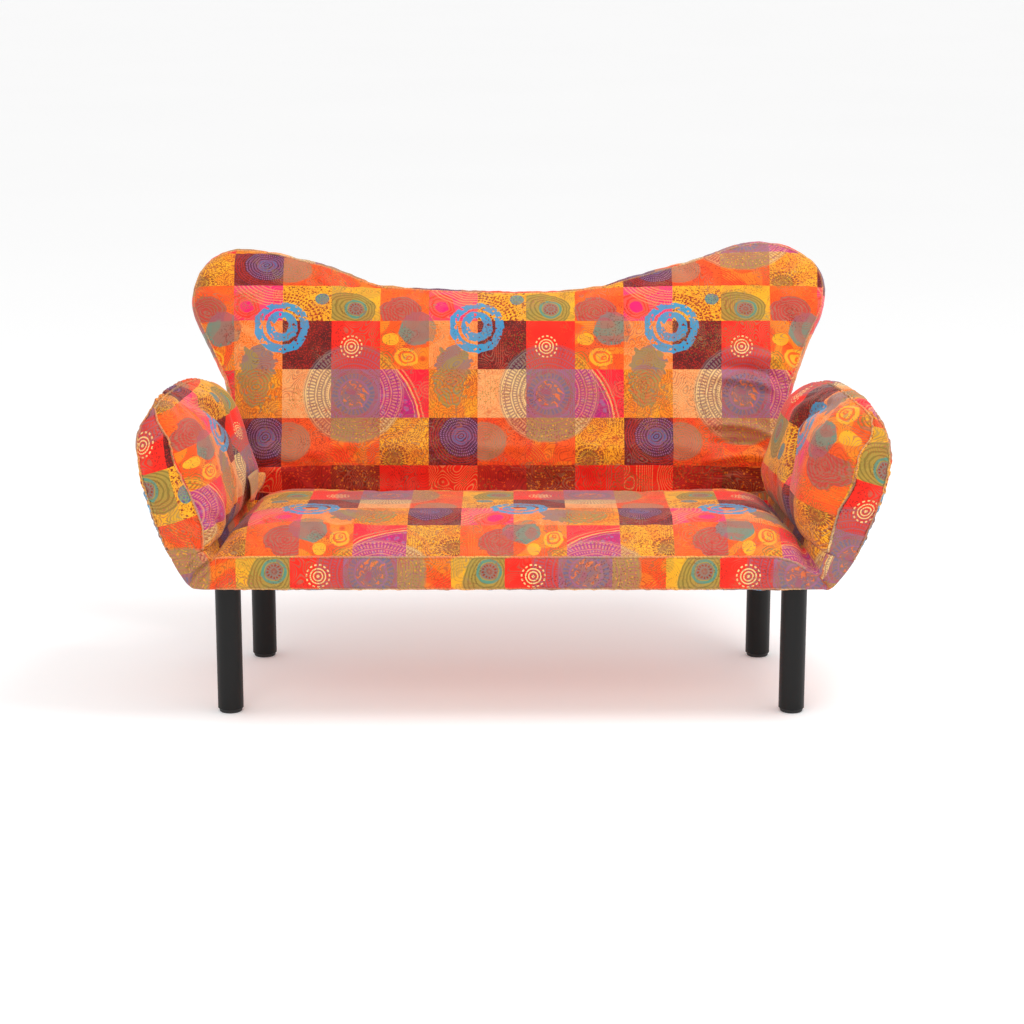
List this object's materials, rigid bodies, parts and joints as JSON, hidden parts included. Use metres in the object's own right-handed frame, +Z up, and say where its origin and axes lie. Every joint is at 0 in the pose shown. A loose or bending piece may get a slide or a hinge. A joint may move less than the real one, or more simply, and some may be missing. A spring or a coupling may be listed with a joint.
{
  "type": "sofa bed",
  "caption": "Armed sofa bed in patchwork cloth: slim seat on round legs, puffy arms and an eared back that fold down flat.",
  "frame": {"origin": "on the floor under the middle of the whole sofa's box, with arms and back raised", "axes": "+Z up, +X along the seat, to the right as seen from the front, -Y out of the seat's front face"},
  "size_m": [1.5528, 0.776, 0.8954],
  "materials": {
    "patchwork_cloth": "matte",
    "foam": "matte",
    "webbing": "matte",
    "black_leg": "satin",
    "glide_plastic": "matte",
    "frame_steel": "satin",
    "hinge_steel": "satin",
    "zinc_steel": "satin",
    "spring_steel": "satin"
  },
  "bodies": {
    "seat": {"back_base_bolts": "zinc_steel", "back_hinge_bases": "hinge_steel", "back_hinge_pawls": "zinc_steel", "back_hinge_rivets": "zinc_steel", "foot_glide_front_left": "glide_plastic", "foot_glide_front_right": "glide_plastic", "foot_glide_rear_left": "glide_plastic", "foot_glide_rear_right": "glide_plastic", "left_arm_base_bolts": "zinc_steel", "left_arm_hinge_bases": "hinge_steel", "left_arm_hinge_pawls": "zinc_steel", "left_arm_hinge_rivets": "zinc_steel", "leg_bolts": "zinc_steel", "leg_front_left": "black_leg", "leg_front_right": "black_leg", "leg_plates": "frame_steel", "leg_rear_left": "black_leg", "leg_rear_right": "black_leg", "right_arm_base_bolts": "zinc_steel", "right_arm_hinge_bases": "hinge_steel", "right_arm_hinge_pawls": "zinc_steel", "right_arm_hinge_rivets": "zinc_steel", "seat_cover": "patchwork_cloth", "seat_foam": "foam", "seat_frame": "frame_steel", "seat_insulator": "foam", "seat_springs": "spring_steel", "seat_underpad": "foam", "spring_clips": "spring_steel"},
    "left_arm": {"left_arm_cover": "patchwork_cloth", "left_arm_foam": "foam", "left_arm_frame": "frame_steel", "left_arm_hinge_leaves": "hinge_steel", "left_arm_hinge_ratchets": "zinc_steel", "left_arm_leaf_bolts": "zinc_steel", "left_arm_outer_pad": "foam", "left_arm_webbing": "webbing"},
    "right_arm": {"right_arm_cover": "patchwork_cloth", "right_arm_foam": "foam", "right_arm_frame": "frame_steel", "right_arm_hinge_leaves": "hinge_steel", "right_arm_hinge_ratchets": "zinc_steel", "right_arm_leaf_bolts": "zinc_steel", "right_arm_outer_pad": "foam", "right_arm_webbing": "webbing"},
    "back": {"back_cover": "patchwork_cloth", "back_foam": "foam", "back_frame": "frame_steel", "back_hinge_leaves": "hinge_steel", "back_hinge_ratchets": "zinc_steel", "back_leaf_bolts": "zinc_steel", "back_rear_pad": "foam", "back_webbing": "webbing"}
  },
  "joints": [
    {"name": "left_arm_fold", "type": "hinge", "parent": "seat", "child": "left_arm", "pos_m": [-0.648, -0.38807, 0.319], "axis": [-0.0785, -0.9969, 0], "range_deg": [-6, 72]},
    {"name": "right_arm_fold", "type": "hinge", "parent": "seat", "child": "right_arm", "pos_m": [0.648, -0.38807, 0.319], "axis": [-0.0785, 0.9969, 0], "range_deg": [-6, 72]},
    {"name": "back_recline", "type": "hinge", "parent": "seat", "child": "back", "pos_m": [0, 0.17693, 0.319], "axis": [-1, 0, 0], "range_deg": [-6, 72]}
  ]
}
